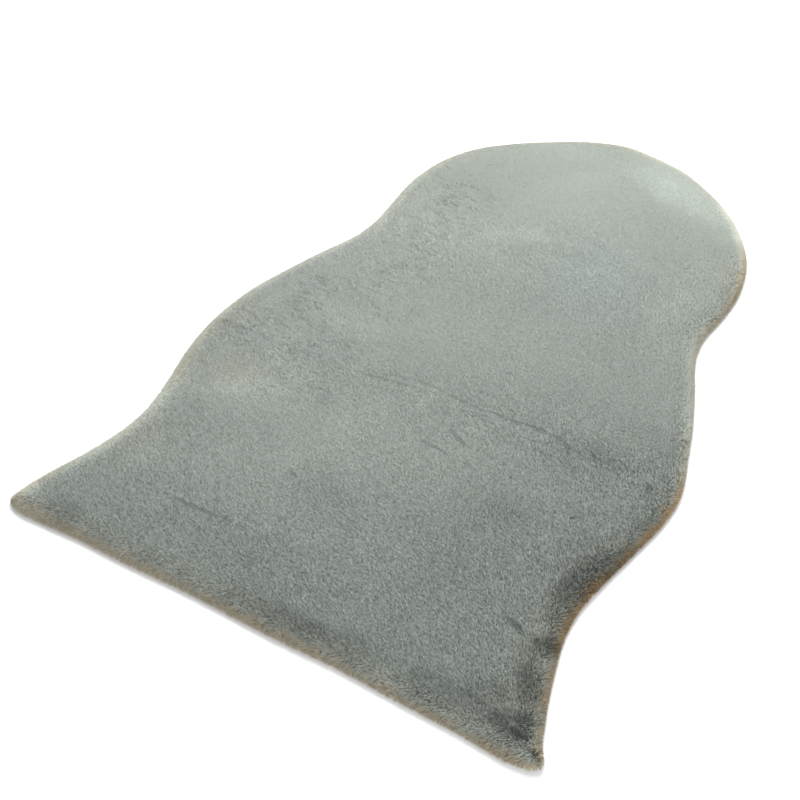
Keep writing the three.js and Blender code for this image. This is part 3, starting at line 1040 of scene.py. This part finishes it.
def pile_pieces(name, pieces, corners, normals, shade, floor_bounce_warmth, cast, lively):
    """Joined meshes of locks. Each lock has its own small cell of the map."""
    many, sides = corners.shape[:2]
    # the lock's colour: the fibre colour times its brightness with painted light and shade, mixed towards the tan of
    # painted floor bounce at the rim
    tint = SAGE[None] * (1 + cast[:, None] * np.array([1.0, 0.0, -1.0]))
    tint = tint * shade[:, None]
    mix = floor_bounce_warmth[:, None]
    tint = tint * (1 - mix) + BOUNCE_TAN[None] * mix * shade[:, None]
    by_corner = (
        (ROOT_SHADE, MID_SHADE, MID_SHADE, TIP_SHADE)
        if sides == 4
        else (ROOT_SHADE, ROOT_SHADE, TIP_SHADE)
    )
    colours = np.ones((many, sides, 4), np.float32)
    # the painted root shade is eased off where the pile lies smooth
    for k, amount in enumerate(by_corner):
        eased = amount + (0.99 - amount) * (1 - lively[:, None])
        colours[:, k, :3] = tint * eased
    pattern = [0, 2, 1, 1, 2, 3] if sides == 4 else [0, 1, 2]
    which = (np.arange(many) * pieces // many).astype(int)
    made = []
    for piece in range(pieces):
        use = which == piece
        m = int(use.sum())
        me = bpy.data.meshes.new(f"{name}_{piece + 1}")
        me.vertices.add(m * sides)
        co = (corners[use] * MM).astype(np.float32)
        me.vertices.foreach_set("co", co.ravel())
        first = (np.arange(m) * sides)[:, None]
        loops = (first + np.array(pattern)[None]).astype(np.int32).ravel()
        me.loops.add(len(loops))
        me.loops.foreach_set("vertex_index", loops)
        me.polygons.add(len(loops) // 3)
        starts = np.arange(0, len(loops), 3, dtype=np.int32)
        me.polygons.foreach_set("loop_start", starts)
        me.update(calc_edges=True)
        me.shade_smooth()
        attr = me.color_attributes.new("fibre", "FLOAT_COLOR", "POINT")
        attr.data.foreach_set("color", colours[use].ravel())
        cells = int(math.ceil(math.sqrt(m)))
        k = np.arange(m)
        corner = np.stack([k % cells, k // cells], 1)[:, None]
        uv = ((corner + UV_OF[sides][None]) / cells).reshape(-1, 2)[loops]
        layer = me.uv_layers.new(name="OFBake")
        layer.data.foreach_set("uv", uv.astype(np.float32).ravel())
        custom = me.attributes.new("custom_normal", "FLOAT_VECTOR", "POINT")
        custom.data.foreach_set("vector", normals[use].astype(np.float32).ravel())
        me.materials.append(fibre)
        me.update()
        made.append(new_object(f"{name}_{piece + 1}", me))
    return made


piles = pile_pieces("pile_field", FIELD_PIECES, *pile(FIELD_LOCKS, rim=False))
piles += pile_pieces("pile_rim", RIM_PIECES, *pile(RIM_LOCKS, rim=True))

# ------------------------------------------------------------- declarations
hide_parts("fur_panel")
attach(rug_ground, "root")
for ob in piles:
    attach(ob, "root")

# ---------------------------------------------------------------- the stage
floor_mesh = bpy.data.meshes.new("floor")
floor_mesh.from_pydata(
    [(-40, -40, 0), (40, -40, 0), (40, 40, 0), (-40, 40, 0)], [], [(0, 1, 2, 3)]
)
floor = new_object("floor", floor_mesh)
floor_mat, floor_nt, floor_bsdf = principled("floor")
floor_bsdf.inputs["Base Color"].default_value = (0.97, 0.97, 0.965, 1)
floor_bsdf.inputs["Roughness"].default_value = 0.9
floor_bsdf.inputs["Specular IOR Level"].default_value = 0.1
floor_mesh.materials.append(floor_mat)


def area_light(name, place, target, size, power, colour=(1, 1, 1)):
    data = bpy.data.lights.new(name, "AREA")
    data.shape = "DISK"
    data.size = size
    data.energy = power
    data.color = colour
    ob = bpy.data.objects.new(name, data)
    bpy.context.scene.collection.objects.link(ob)
    ob.location = place
    ob.visible_camera = False
    ob.rotation_euler = (
        (Vector(target) - Vector(place)).to_track_quat("-Z", "Y").to_euler()
    )
    return ob


area_light("window", (-0.49, 0.80, 1.10), (0.0, -0.05, 0.0), 1.1, 41, (1.0, 1.0, 1.0))
area_light("overhead", (0.3, -0.3, 2.6), (0, 0, 0), 2.4, 5, (0.98, 0.99, 1.0))
area_light("front_fill", (1.1, -1.7, 0.55), (0.0, -0.3, 0.0), 1.2, 28, (1.0, 1.0, 1.0))

world = bpy.data.worlds.new("world")
world.use_nodes = True
world.node_tree.nodes["Background"].inputs["Color"].default_value = (0.98, 0.99, 1, 1)
world.node_tree.nodes["Background"].inputs["Strength"].default_value = 0.40
bpy.context.scene.world = world

# ---------------------------------------------------------------- the camera
cam_data = bpy.data.cameras.new("camera")
cam_data.sensor_width = 36.0
cam_data.lens = 60.18
cam_data.clip_end = 100.0
camera = bpy.data.objects.new("camera", cam_data)
bpy.context.scene.collection.objects.link(camera)
camera.location = (0.4930, -1.0077, 1.0054)
camera.rotation_euler = (math.radians(45.824), 0.0, math.radians(30.648))
bpy.context.scene.camera = camera
bpy.context.scene.view_settings.view_transform = "Standard"

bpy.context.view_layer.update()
